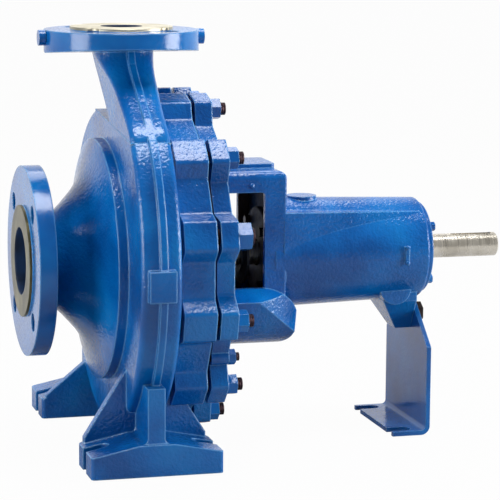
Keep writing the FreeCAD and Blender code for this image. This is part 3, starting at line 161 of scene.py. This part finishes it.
def enamel(name, dips, grit, edge):
    """Enamel on a cast skin; dips and grit are strengths of relief, edge is a radius in mm."""
    material, tree, shader, place = new_material(name)
    wide = add(tree, "ShaderNodeTexNoise", Vector=place, Scale=lumps(CAST_DIP), Detail=2.0)
    fine = add(tree, "ShaderNodeTexNoise", Vector=place, Scale=lumps(CAST_GRIT), Detail=1.0)
    patch = add(tree, "ShaderNodeTexNoise", Vector=place, Scale=lumps(PAINT_PATCH), Detail=3.0)
    tint = add(tree, "ShaderNodeValToRGB", i0=patch,
               settings={"stops": [(0.35, DEEP_BLUE), (0.5, BLUE), (0.7, LIGHT_BLUE)]})
    rounded = add(tree, "ShaderNodeBevel", {"samples": 4}, Radius=edge * MM)
    flat = add(tree, "ShaderNodeNewGeometry").outputs["Normal"]
    turn = add(tree, "ShaderNodeVectorMath", {"operation": "DOT_PRODUCT"}, i0=rounded, i1=flat)
    # The lighter edge colour is partly thin paint and partly a painted highlight.
    thin_paint_and_edge_highlight = add(tree, "ShaderNodeValToRGB", {"stops": [(0.86, 0.75), (0.99, 0.0)]},
               i0=turn.outputs["Value"])
    colour = add(tree, "ShaderNodeMix", {"data_type": "RGBA"}, i0=thin_paint_and_edge_highlight, i6=tint, i7=linear(THIN_PAINT_AND_EDGE_HIGHLIGHT))
    gloss = add(tree, "ShaderNodeValToRGB", {"stops": [(0.3, SMOOTHEST), (0.7, ROUGHEST)]}, i0=fine)
    dents = add(tree, "ShaderNodeBump", Height=wide, Strength=dips, Distance=DIP_HEIGHT, Normal=rounded)
    skin = add(tree, "ShaderNodeBump", Height=fine, Strength=grit, Distance=GRIT_HEIGHT, Normal=dents)
    join(tree, shader, Base_Color=colour.outputs[2], Roughness=gloss, Normal=skin, IOR=ENAMEL_IOR)
    return material, tree, shader, place


bracket_enamel, *bracket_graph = enamel("blue_enamel_on_bracket_casting", dips=0.25, grit=0.7, edge=2.0)
casing_enamel, *casing_graph = enamel("blue_enamel_on_volute_casting", dips=0.35, grit=0.7, edge=2.4)
hexagon_enamel = enamel("blue_enamel_on_steel_hexagons", dips=0.25, grit=0.25, edge=0.7)[0]
sheet_enamel = enamel("blue_enamel_on_bent_sheet", dips=0.12, grit=0.25, edge=0.8)[0]
print("four coats of the same enamel")

# %% [markdown]
# ## Two helpers for a finish that covers only a place
# The big castings are blue outside and something else where they are turned or primed. Each second
# finish is mixed in by its place, inside the same shader: a mask is 1 there and 0 elsewhere.

# %% Mix a second finish in by place
SHAFT_LINE = ((0, 0, SHAFT_HEIGHT), (0, 1, 1))
DISCHARGE_LINE = ((0, 0, 0), (1, 1, 0))


def distance_from_line(tree, place, through, across):
    """How far a place is from a line through a point, counted only along the axes across it."""
    away = add(tree, "ShaderNodeVectorMath", {"operation": "SUBTRACT"}, i0=place, i1=through)
    flat = add(tree, "ShaderNodeVectorMath", {"operation": "MULTIPLY"}, i0=away, i1=across)
    return add(tree, "ShaderNodeVectorMath", {"operation": "LENGTH"}, i0=flat).outputs["Value"]


def mix_finish(tree, shader, mask, colour, metallic, rough):
    """Blend another colour, metalness and roughness into the shader where the mask is 1."""
    for socket, value in (("Base Color", colour), ("Roughness", rough), ("Metallic", metallic)):
        target = shader.inputs[socket]
        before = target.links[0].from_socket if target.links else target.default_value
        if socket == "Base Color":
            mix = add(tree, "ShaderNodeMix", {"data_type": "RGBA"}, i0=mask, i6=before, i7=value)
            tree.links.new(mix.outputs[2], target)
        else:
            mix = add(tree, "ShaderNodeMix", {"data_type": "FLOAT"}, i0=mask, i2=before, i3=value)
            tree.links.new(mix.outputs[0], target)


print("place helpers ready")

# %% [markdown]
# ## Bare sealing faces
# The two sealing faces of the volute casing are turned after casting and never painted: grey iron
# under a thin film of wax, brownish on the suction face, with the fine rings that the tool left. The
# top face is painted nearly white, a painted reflection of the white behind the pump on its bare iron.
# The flanges were turned all over before they were painted, so the enamel lies smooth on them and
# shows broad clean reflections.

# %% Turned faces and smooth flanges
SUCTION_FLANGE_BACK, SUCTION_RAISED_FACE = -79.0 * MM, -97.6 * MM
DISCHARGE_FLANGE_UNDERSIDE, DISCHARGE_RAISED_FACE = 384.0 * MM, 402.4 * MM
FACE_RING, RING_DEPTH = 0.9 * MM, 0.04 * MM
SMOOTH_RELIEF = 0.06
WAX_STAIN = 9.0


def beyond(tree, place, suction_limit, discharge_limit):
    """Masks of what lies above the discharge limit, and of what lies beyond either limit."""
    parts = add(tree, "ShaderNodeSeparateXYZ", Vector=place)
    front = add(tree, "ShaderNodeMath", {"operation": "LESS_THAN"}, i0=parts.outputs["X"],
                i1=suction_limit)
    top = add(tree, "ShaderNodeMath", {"operation": "GREATER_THAN"}, i0=parts.outputs["Z"],
              i1=discharge_limit)
    either = add(tree, "ShaderNodeMath", {"operation": "MAXIMUM"}, i0=front, i1=top)
    return top, either


def turned_faces(tree, shader, place):
    """Waxed bare iron with tool rings on both raised faces, painted reflection on top, smooth enamel on
    flanges.
    """
    _, flanges = beyond(tree, place, SUCTION_FLANGE_BACK, DISCHARGE_FLANGE_UNDERSIDE)
    for bump in [node for node in tree.nodes if node.type == "BUMP"]:
        cast = bump.inputs["Strength"].default_value
        relief = add(tree, "ShaderNodeMapRange", i0=flanges, i3=cast, i4=SMOOTH_RELIEF)
        join(tree, bump, Strength=relief)
    top, mask = beyond(tree, place, SUCTION_RAISED_FACE, DISCHARGE_RAISED_FACE)
    radius = add(tree, "ShaderNodeMix", {"data_type": "FLOAT"}, i0=top,
                 i2=distance_from_line(tree, place, *SHAFT_LINE),
                 i3=distance_from_line(tree, place, *DISCHARGE_LINE))
    turns = add(tree, "ShaderNodeMath", {"operation": "MULTIPLY"}, i0=radius, i1=2 * math.pi / FACE_RING)
    wave = add(tree, "ShaderNodeMath", {"operation": "SINE"}, i0=turns)
    marks = add(tree, "ShaderNodeMath", {"operation": "MULTIPLY"}, i0=wave, i1=mask)
    rings = add(tree, "ShaderNodeBump", Height=marks, Strength=0.35, Distance=RING_DEPTH,
                Normal=shader.inputs["Normal"].links[0].from_socket)
    join(tree, shader, Normal=rings)
    stain = add(tree, "ShaderNodeTexNoise", Vector=place, Scale=lumps(WAX_STAIN), Detail=4.0)
    waxed = add(tree, "ShaderNodeValToRGB", i0=stain,
                settings={"stops": [(0.35, "3E3A22"), (0.55, "686242"), (0.75, "948C68")]})
    # The near-white on the top face is a painted reflection of the white behind the pump.
    painted_top_reflection = add(tree, "ShaderNodeValToRGB", i0=stain,
                settings={"stops": [(0.35, "B3AA8C"), (0.7, "E0D9C4")]})
    wax_and_top_reflection = add(tree, "ShaderNodeMix", {"data_type": "RGBA"}, i0=top, i6=waxed, i7=painted_top_reflection)
    mix_finish(tree, shader, mask, wax_and_top_reflection.outputs[2], metallic=0.75, rough=0.34)


turned_faces(*casing_graph)
print("sealing faces and flanges turned")

# %% [markdown]
# ## Primer where the enamel did not reach, and painted shade
# The lantern is painted from outside only, so its inner walls keep the red-brown primer of the
# foundry, matt and a little stained, and painted darker still as the shade inside the lantern. The
# walls of both bores keep the blue enamel, painted blue-black there as painted shade.

# %% Primer and painted shade inside the lantern, painted shade in the bores
LANTERN_INSIDE = ((74.8, 144.5), (-47.6, 47.6), (-140.0, 80.4))
TROUGH_MIDDLE_RADIUS = 85.5 * MM
SUCTION_BORE_EDGE = 32.8 * MM
DISCHARGE_BORE_EDGE, DISCHARGE_BORE_END = 20.3 * MM, 370.0 * MM
STAIN_IN_PRIMER_AND_SHADE = 6.0


def primer_and_painted_shade(tree, shader, place, mask, stops, rough):
    """A matt stained colour where the mask is 1: darkened red-brown in the lantern, blue-black shade in
    the bores.
    """
    stain = add(tree, "ShaderNodeTexNoise", Vector=place, Scale=lumps(STAIN_IN_PRIMER_AND_SHADE), Detail=4.0)
    colour = add(tree, "ShaderNodeValToRGB", {"stops": stops}, i0=stain).outputs["Color"]
    mix_finish(tree, shader, mask, colour, metallic=0.0, rough=rough)


def primed_and_shaded_lantern(tree, shader, place):
    """Primer painted dark as shade on the bracket inside the lantern's walls and below the shaft in the
    trough's.
    """
    parts = add(tree, "ShaderNodeSeparateXYZ", Vector=place)
    within = add(tree, "ShaderNodeMath", {"operation": "LESS_THAN"}, i1=TROUGH_MIDDLE_RADIUS,
                 i0=distance_from_line(tree, place, *SHAFT_LINE))
    upper = add(tree, "ShaderNodeMath", {"operation": "GREATER_THAN"}, i0=parts.outputs["Z"],
                i1=SHAFT_HEIGHT)
    mask = add(tree, "ShaderNodeMath", {"operation": "MAXIMUM"}, i0=within, i1=upper)
    for axis, (low, high), lift in zip("XYZ", LANTERN_INSIDE, (0, 0, SHAFT_HEIGHT)):
        inside = add(tree, "ShaderNodeMath", {"operation": "COMPARE"}, i0=parts.outputs[axis],
                     i1=(low + high) / 2 * MM + lift, i2=(high - low) / 2 * MM)
        mask = add(tree, "ShaderNodeMath", {"operation": "MULTIPLY"}, i0=mask, i1=inside)
    # The red-brown primer is painted very dark here: painted shade inside the lantern.
    primer_and_painted_shade(tree, shader, place, mask, [(0.35, "2A1C1B"), (0.7, "46302B")], rough=0.62)


def painted_shade_in_bores(tree, shader, place):
    """Painted shade, a blue-black, on the walls of the suction and discharge bores."""
    suction = add(tree, "ShaderNodeMath", {"operation": "LESS_THAN"}, i1=SUCTION_BORE_EDGE,
                  i0=distance_from_line(tree, place, *SHAFT_LINE))
    discharge = add(tree, "ShaderNodeMath", {"operation": "LESS_THAN"}, i1=DISCHARGE_BORE_EDGE,
                    i0=distance_from_line(tree, place, *DISCHARGE_LINE))
    height = add(tree, "ShaderNodeSeparateXYZ", Vector=place).outputs["Z"]
    high = add(tree, "ShaderNodeMath", {"operation": "GREATER_THAN"}, i0=height, i1=DISCHARGE_BORE_END)
    top = add(tree, "ShaderNodeMath", {"operation": "MULTIPLY"}, i0=discharge, i1=high)
    mask = add(tree, "ShaderNodeMath", {"operation": "MAXIMUM"}, i0=suction, i1=top)
    # Blue-black painted shade in the bores, where the enamel is blue.
    primer_and_painted_shade(tree, shader, place, mask, [(0.35, "0F2544"), (0.7, "1D3F6E")], rough=0.5)


# The lantern gets primer darkened by painted shade, and the bores get painted shade only.
primed_and_shaded_lantern(*bracket_graph)
painted_shade_in_bores(*casing_graph)
print("lantern and bores primed")

# %% [markdown]
# ## Cast iron, bronze, carbon, ceramic and rubber
# Many pieces inside are cast, pressed, sintered or moulded, and none of these has the blue coat. What
# the eye sees on all of them is the same kind of thing: two close tones in lumps, with a finer grain
# that breaks the gloss. One finish serves them, with the tones, the lump and the gloss of each.

# %% A mottled cast finish
GRAIN_SHARE = 0.25
GRAIN_HEIGHT = 0.3 * MM


def cast_finish(name, dark, pale, metallic, rough, lump, relief):
    """Mottled casting: two colours in lumps of a given size in mm, and a relief of finer grain."""
    material, tree, shader, place = new_material(name)
    mottle = add(tree, "ShaderNodeTexNoise", Vector=place, Scale=lumps(lump), Detail=3.0)
    grain = add(tree, "ShaderNodeTexNoise", Vector=place, Scale=lumps(lump * GRAIN_SHARE), Detail=2.0)
    tone = add(tree, "ShaderNodeValToRGB", {"stops": [(0.35, dark), (0.68, pale)]}, i0=mottle)
    gloss = add(tree, "ShaderNodeValToRGB", i0=grain,
                settings={"stops": [(0.3, rough - 0.08), (0.7, rough + 0.1)]})
    bump = add(tree, "ShaderNodeBump", Height=grain, Strength=relief, Distance=GRAIN_HEIGHT)
    join(tree, shader, Base_Color=tone, Roughness=gloss, Normal=bump, Metallic=metallic)
    return material


primed_iron = cast_finish("primed_cast_iron", "2B1D1B", "48322D", 0.0, 0.6, 7.0, 0.6)
bare_iron = cast_finish("bare_grey_cast_iron", "55514D", "7A756F", 0.85, 0.5, 5.0, 0.5)
ring_bronze = cast_finish("cast_tin_bronze", "8C6A35", "B08C4E", 1.0, 0.34, 6.0, 0.2)
gasket_fibre = cast_finish("pressed_fibre_gasket", "2E3A34", "46544C", 0.0, 0.8, 3.0, 0.4)
seal_carbon = cast_finish("resin_bonded_carbon", "17181A", "26282B", 0.0, 0.38, 2.5, 0.15)
seal_ceramic = cast_finish("sintered_alumina", "CFC8B6", "E2DCCB", 0.0, 0.3, 2.0, 0.1)
black_rubber = cast_finish("moulded_nitrile_rubber", "101113", "1D1E21", 0.0, 0.55, 3.0, 0.25)
cage_brass = cast_finish("machined_cage_brass", "A8843C", "C9A659", 1.0, 0.3, 4.0, 0.12)
print("eight cast, pressed and moulded finishes")

# %% [markdown]
# ## Bare steel
# The shaft is turned and ground, so its fine tool marks run round it. The stud ends keep a film of
# black oxide and show their thread, which is cut too fine to be worth its triangles: it is a relief
# of one ridge per pitch. The small screws are zinc plated and look creamy.

# %% Turned, oxidised and plated steel
THREAD_PITCH, THREAD_HEIGHT = 1.75 * MM, 0.3 * MM
MARK_DEPTH = 0.04 * MM
MARKS_ROUND = 12.0
STEEL_STAIN = 6.0


def turned_steel(name, dark, pale, rough, groove, thread=False):
    """Steel with fine rings round the shaft direction; groove is the width of a ring in mm."""
    material, tree, shader, place = new_material(name)
    rings = add(tree, "ShaderNodeMapping", Vector=place, Scale=(1000 / groove, MARKS_ROUND, MARKS_ROUND))
    marks = add(tree, "ShaderNodeTexNoise", Vector=rings, Scale=1.0, Detail=2.0)
    stain = add(tree, "ShaderNodeTexNoise", Vector=place, Scale=lumps(STEEL_STAIN), Detail=3.0)
    tone = add(tree, "ShaderNodeValToRGB", {"stops": [(0.35, dark), (0.7, pale)]}, i0=stain)
    gloss = add(tree, "ShaderNodeValToRGB", i0=marks,
                settings={"stops": [(0.3, rough - 0.06), (0.7, rough + 0.08)]})
    bump = add(tree, "ShaderNodeBump", Height=marks, Strength=0.2, Distance=MARK_DEPTH)
    if thread:
        along = add(tree, "ShaderNodeSeparateXYZ", Vector=place).outputs["X"]
        turns = add(tree, "ShaderNodeMath", {"operation": "MULTIPLY"}, i0=along,
                    i1=2 * math.pi / THREAD_PITCH)
        wave = add(tree, "ShaderNodeMath", {"operation": "SINE"}, i0=turns)
        bump = add(tree, "ShaderNodeBump", Height=wave, Strength=0.9, Distance=THREAD_HEIGHT, Normal=bump)
    join(tree, shader, Base_Color=tone, Roughness=gloss, Normal=bump, Metallic=1.0)
    return material


ground_steel = turned_steel("ground_shaft_steel", "CFC8BA", "EEE8DC", 0.3, 0.9)
thread_steel = turned_steel("black_oxide_threaded_steel", "33262A", "4E3D40", 0.42, 1.2, thread=True)
dark_steel = turned_steel("black_oxide_steel", "2C2628", "453C3C", 0.42, 1.2)
zinc_steel = turned_steel("zinc_plated_steel", "D6CEB4", "EBE4CC", 0.36, 1.0)
print("four steels")

# %% [markdown]
# ## Which piece gets which finish
# The table names the pieces of each finish. Every piece that it leaves out is plain ground steel, such
# as the shaft, its sleeve, and the rings and balls of both bearings.

# %% Dress every piece
FINISHES = {
    casing_enamel: ("volute_casing",),
    bracket_enamel: ("bearing_bracket",),
    hexagon_enamel: ("casing_nuts", "heavy_nuts", "forcing_nuts", "drain_plug", "rear_cover_screws",
                     "gauge_plugs", "rear_bearing_cover"),
    sheet_enamel: ("support_foot",),
    primed_iron: ("casing_cover", "front_bearing_cover", "seal_cover"),
    bare_iron: ("impeller",),
    ring_bronze: ("casing_wear_ring", "cover_wear_ring"),
    gasket_fibre: ("casing_gasket",),
    seal_carbon: ("seal_face_ring",),
    seal_ceramic: ("seal_seat",),
    black_rubber: ("front_lip_seal", "rear_lip_seal", "deflector_ring"),
    cage_brass: ("front_bearing_cage", "rear_bearing_cage"),
    thread_steel: ("casing_studs", "heavy_studs", "forcing_screws"),
    dark_steel: ("front_cover_screws", "support_washer", "support_bolt", "impeller_washer"),
    zinc_steel: ("seal_cover_bolts",),
}


def dress(piece, material):
    """Give a piece its finish in every slot."""
    if not piece.data.materials:
        piece.data.materials.append(material)
    for i in range(len(piece.data.materials)):
        piece.data.materials[i] = material


dressed = {name: material for material, names in FINISHES.items() for name in names}
for name, piece in nodes.items():
    dress(piece, dressed.get(name, ground_steel))
print("dressed", len(dressed), "pieces, and", len(nodes) - len(dressed), "in ground steel")

# %% [markdown]
# ## Small cast pips
# Where the mould was vented and where a pattern was screwed together, a sand casting keeps low round
# pips. One sits over the lantern window, two more end the short bar on the bearing housing. Each one
# starts as a thin round, its face is drawn in and pushed out twice, and that makes a low dome.

# %% Model the pips
LANTERN_SIDE, HOUSING_SIDE = -54.0, -53.3
BAR_PLACE, BAR_HALF_LENGTH = 276.5, 7.6
PIPS = {
    "lantern_pip": (116.5, LANTERN_SIDE, 73.6, 2.6, 1.6),
    "upper_bar_pip": (BAR_PLACE, HOUSING_SIDE, BAR_HALF_LENGTH, 2.4, 1.5),
    "lower_bar_pip": (BAR_PLACE, HOUSING_SIDE, -BAR_HALF_LENGTH, 2.4, 1.5),
}
PIP_SUNK = 0.5
DOME_STEPS = ((0.22, 0.3), (0.35, 0.2))


def cast_pip(name, x, y, z, radius, height):
    """A low round dome on a casting's near side, sunk half a millimetre into it; sizes in mm."""
    deselect_all()
    middle = y + PIP_SUNK / 2 - height / 4
    bpy.ops.mesh.primitive_cylinder_add(vertices=28, radius=radius * MM,
                                        depth=(height / 2 + PIP_SUNK) * MM,
                                        location=(x * MM, middle * MM, z * MM + SHAFT_HEIGHT),
                                        rotation=(math.pi / 2, 0, 0))
    pip = bpy.context.object
    pip.name = name
    bpy.ops.object.transform_apply(location=True, rotation=True, scale=True)
    bpy.ops.object.mode_set(mode="EDIT")
    bpy.ops.mesh.select_all(action="DESELECT")
    bpy.ops.object.mode_set(mode="OBJECT")
    front = min(pip.data.polygons, key=lambda face: face.center.y)
    front.select = True
    bpy.ops.object.mode_set(mode="EDIT")
    bpy.ops.mesh.select_mode(type="FACE")
    for draw, push in DOME_STEPS:
        bpy.ops.mesh.inset(thickness=radius * draw * MM)
        bpy.ops.transform.translate(value=(0, -height * push * MM, 0))
    bpy.ops.mesh.select_all(action="SELECT")
    bpy.ops.mesh.normals_make_consistent(inside=False)
    bpy.ops.object.mode_set(mode="OBJECT")
    bpy.ops.object.shade_smooth_by_angle(angle=math.radians(50))
    pip.data.materials.append(bracket_enamel)
    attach(pip, "pump_body")


for name, sizes in PIPS.items():
    cast_pip(name, *sizes)
print("modelled", len(PIPS), "cast pips")

# %% [markdown]
# ## The studio
# The photograph was taken in front of white, with a dim room behind the camera. That is why the
# enamel is deep blue where it mirrors the room. The world here is the same: bright behind the pump,
# dim on the camera's side. The camera itself sees plain white, and so do rays through glass and
# reflections of what is behind the pump.

# %% Rays that see the background itself
def background_rays(tree, behind):
    """1 for rays from the camera or through glass, and for reflections of what is behind the pump."""
    ray = add(tree, "ShaderNodeLightPath")
    mirrored = add(tree, "ShaderNodeMath", {"operation": "MULTIPLY"}, i0=ray.outputs["Is Glossy Ray"],
                   i1=behind)
    through = add(tree, "ShaderNodeMath", {"operation": "MAXIMUM"}, i0=ray.outputs["Is Transmission Ray"],
                  i1=mirrored)
    return add(tree, "ShaderNodeMath", {"operation": "MAXIMUM"}, i0=ray.outputs["Is Camera Ray"],
               i1=through)


print("background rays ready")

# %% [markdown]
# ## A white floor
# The pump stands on a pale floor. Nearly all of what the camera sees of it is plain white, and the
# rest keeps a trace of the pump's shadow.

# %% Floor
FLOOR_SIZE, FLOOR_DROP = 24.0, 0.5 * MM
FLOOR_SHARE = 0.97
COVE_FLOOR_NEAR, COVE_FLOOR_FAR = 0.1, 0.6


def white_floor():
    """A pale floor just under the feet."""
    bpy.ops.mesh.primitive_plane_add(size=FLOOR_SIZE, location=(0, 0, -FLOOR_DROP))
    floor = bpy.context.object
    floor.name = "studio_floor"
    material, tree, shader, place = new_material("studio_white")
    join(tree, shader, Base_Color=linear("A0A0A0"), Roughness=0.9)
    depth = add(tree, "ShaderNodeSeparateXYZ", Vector=place).outputs["Y"]
    behind = add(tree, "ShaderNodeMapRange", i0=depth, i1=COVE_FLOOR_NEAR, i2=COVE_FLOOR_FAR)
    part = add(tree, "ShaderNodeMath", {"operation": "MULTIPLY"}, i0=background_rays(tree, behind),
               i1=FLOOR_SHARE)
    glow = add(tree, "ShaderNodeEmission", Color=linear("FFFFFF"), Strength=1.0)
    mix = add(tree, "ShaderNodeMixShader", i0=part, i1=shader, i2=glow)
    join(tree, next(node for node in tree.nodes if node.type == "OUTPUT_MATERIAL"), Surface=mix)
    floor.data.materials.append(material)


deselect_all()
white_floor()
print("floor ready")

# %% [markdown]
# ## The room around it
# How far a direction points into the room decides how bright the world is there: white behind the
# pump, grey where the room begins. Mirrored rays see the dim room everywhere but behind the pump.

# %% World
TOWARDS_ROOM = (-0.25, -0.95, 0.16)
ROOM_LIGHT, COVE_LIGHT = 0.20, 0.85
COVE_ENDS, ROOM_BEGINS = -0.1, 0.55
WHITE_ENDS, MIRRORED_ROOM_BEGINS = -0.95, -0.35


def white_cove():
    """White behind the pump and a dim room in front, softer for matt surfaces than for mirrors."""
    world = bpy.data.worlds.new("studio_world")
    bpy.context.scene.world = world
    world.use_nodes = True
    tree = world.node_tree
    tree.nodes.clear()
    way = add(tree, "ShaderNodeTexCoord").outputs["Generated"]
    facing = add(tree, "ShaderNodeVectorMath", {"operation": "DOT_PRODUCT"}, i0=way,
                 i1=TOWARDS_ROOM).outputs["Value"]
    beside = add(tree, "ShaderNodeMapRange", i0=facing, i1=COVE_ENDS, i2=ROOM_BEGINS, i3=COVE_LIGHT,
                 i4=ROOM_LIGHT)
    behind = add(tree, "ShaderNodeMapRange", i0=facing, i1=WHITE_ENDS, i2=MIRRORED_ROOM_BEGINS, i3=1.0,
                 i4=0.0)
    glossy = add(tree, "ShaderNodeLightPath").outputs["Is Glossy Ray"]
    level = add(tree, "ShaderNodeMix", {"data_type": "FLOAT"}, i0=glossy, i2=beside, i3=ROOM_LIGHT)
    fill = add(tree, "ShaderNodeBackground", Color=linear("FFFFFF"), Strength=level)
    shown = add(tree, "ShaderNodeBackground", Color=linear("FFFFFF"), Strength=1.0)
    mix = add(tree, "ShaderNodeMixShader", i0=background_rays(tree, behind), i1=fill, i2=shown)
    add(tree, "ShaderNodeOutputWorld", Surface=mix)


white_cove()
print("cove", COVE_LIGHT, "room", ROOM_LIGHT)

# %% [markdown]
# ## Soft lamps
# One tall box on each side draws the bright bands on the flange rims. One overhead lights the crest
# of the housing and the glints of the cast skin, and a weak one behind keeps the far side readable.

# %% Soft lamps
def soft_lamp(name, place, target, size, power):
    """A rectangular lamp at a place, turned to a target; sizes in metres, power in watts."""
    data = bpy.data.lights.new(name, "AREA")
    data.shape = "RECTANGLE"
    data.size, data.size_y = size
    data.energy = power
    lamp = bpy.data.objects.new(name, data)
    bpy.context.scene.collection.objects.link(lamp)
    lamp.location = place
    aim = Vector(target) - Vector(place)
    lamp.rotation_euler = aim.to_track_quat("-Z", "Y").to_euler()


soft_lamp("left_softbox", (-2.05, -0.55, 0.55), (0.0, -0.1, 0.45), (1.1, 1.3), 32)
soft_lamp("right_softbox", (2.1, -0.8, 0.55), (0.1, 0, 0.45), (1.0, 1.3), 46)
soft_lamp("high_softbox", (0.25, -0.25, 2.2), (0.15, 0, 0.2), (1.2, 0.9), 36)
soft_lamp("back_softbox", (0.2, 1.4, 1.8), (0.1, 0, 0.25), (1.4, 0.9), 12)
print("four soft lamps")

# %% [markdown]
# ## The camera
# The flanges, the feet and the shaft end of the photograph fix where the camera stood: a little to the
# left of the discharge flange, about two metres away and somewhat above the shaft, with a long lens.

# %% Place the camera
CAMERA_PLACE = (-0.4705, -2.1874, 0.5446)
YAW, PITCH, ROLL = (math.radians(a) for a in (15.346, 9.072, 0.406))
SENSOR_WIDTH = 36.0
FOCAL_PIXELS, FRAME_PIXELS = 2319.4, 500
FAR_END = 50.0


def photo_camera():
    """The camera of the photograph, turned by yaw, then pitch, then a small roll."""
    data = bpy.data.cameras.new("photo_camera")
    data.sensor_width = SENSOR_WIDTH
    data.sensor_fit = "HORIZONTAL"
    data.lens = FOCAL_PIXELS / FRAME_PIXELS * SENSOR_WIDTH
    data.clip_end = FAR_END
    camera = bpy.data.objects.new("photo_camera", data)
    bpy.context.scene.collection.objects.link(camera)
    ahead = Vector((math.sin(YAW) * math.cos(PITCH), math.cos(YAW) * math.cos(PITCH), -math.sin(PITCH)))
    right = Vector((math.cos(YAW), -math.sin(YAW), 0))
    up = right.cross(ahead)
    turned_right = math.cos(ROLL) * right + math.sin(ROLL) * up
    turned_up = -math.sin(ROLL) * right + math.cos(ROLL) * up
    axes = Matrix((turned_right, turned_up, -ahead)).transposed().to_4x4()
    camera.matrix_world = Matrix.Translation(Vector(CAMERA_PLACE)) @ axes
    bpy.context.scene.camera = camera


photo_camera()
bpy.context.scene.view_settings.view_transform = "Standard"
print("camera placed at", CAMERA_PLACE)
